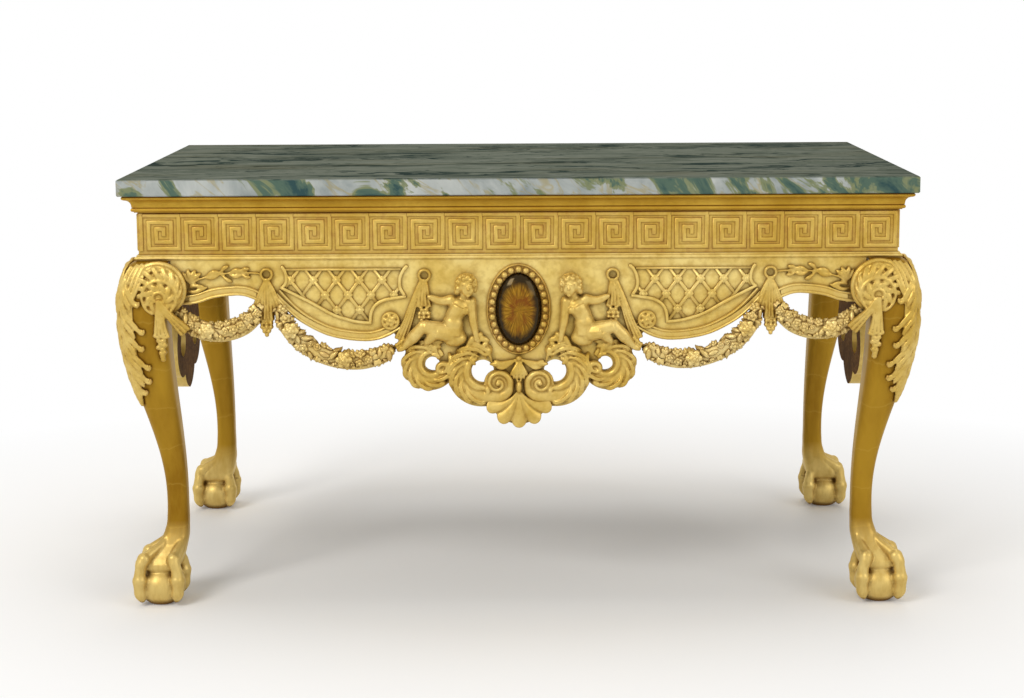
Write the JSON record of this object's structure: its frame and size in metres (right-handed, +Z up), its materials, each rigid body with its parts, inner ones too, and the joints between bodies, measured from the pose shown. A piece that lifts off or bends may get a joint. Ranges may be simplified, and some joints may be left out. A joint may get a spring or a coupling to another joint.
{
  "type": "centre table",
  "caption": "Rectangular centre table with a loose marble slab, key-pattern frieze, carved pierced aprons and cabriole legs on claw-and-ball feet.",
  "frame": {"origin": "on the floor, under the middle of the table", "axes": "+X to the right along the length, -Y to the front, +Z up"},
  "size_m": [1.55, 0.818, 0.843],
  "materials": {
    "gilt_wood": "water-gilded gold leaf over bole, rubbed",
    "marble": "polished green-veined marble",
    "cabochon": "polished tortoiseshell-brown stone",
    "raw_wood": "bare softwood",
    "screw_steel": "plain steel"
  },
  "bodies": {
    "root": {"apron_back": "gilt_wood", "apron_front": "gilt_wood", "apron_left": "gilt_wood", "apron_right": "gilt_wood", "base_moulding_back": "gilt_wood", "base_moulding_front": "gilt_wood", "base_moulding_left": "gilt_wood", "base_moulding_right": "gilt_wood", "bearer_screws": "screw_steel", "cabochon_back": "cabochon", "cabochon_front": "cabochon", "cornice_back": "gilt_wood", "cornice_front": "gilt_wood", "cornice_left": "gilt_wood", "cornice_right": "gilt_wood", "cross_bearers": "raw_wood", "drapery_back_left": "gilt_wood", "drapery_back_right": "gilt_wood", "drapery_front_left": "gilt_wood", "drapery_front_right": "gilt_wood", "festoon_left": "gilt_wood", "festoon_right": "gilt_wood", "figure_back_left": "gilt_wood", "figure_back_right": "gilt_wood", "figure_front_left": "gilt_wood", "figure_front_right": "gilt_wood", "frieze_back": "gilt_wood", "frieze_front": "gilt_wood", "frieze_left": "gilt_wood", "frieze_right": "gilt_wood", "garland_back_left": "gilt_wood", "garland_back_right": "gilt_wood", "garland_front_left": "gilt_wood", "garland_front_right": "gilt_wood", "glue_blocks": "raw_wood", "knee_carving_back_left": "gilt_wood", "knee_carving_back_right": "gilt_wood", "knee_carving_front_left": "gilt_wood", "knee_carving_front_right": "gilt_wood", "leg_back_left": "gilt_wood", "leg_back_right": "gilt_wood", "leg_front_left": "gilt_wood", "leg_front_right": "gilt_wood", "marble_top": "marble", "oval_frame_back": "gilt_wood", "oval_frame_front": "gilt_wood", "pendant_left": "gilt_wood", "pendant_right": "gilt_wood", "scrolls_back_left": "gilt_wood", "scrolls_back_right": "gilt_wood", "scrolls_front_left": "gilt_wood", "scrolls_front_right": "gilt_wood", "shell_pendant_back": "gilt_wood", "shell_pendant_front": "gilt_wood", "trellis_back_left": "gilt_wood", "trellis_back_right": "gilt_wood", "trellis_front_left": "gilt_wood", "trellis_front_right": "gilt_wood"}
  },
  "joints": []
}
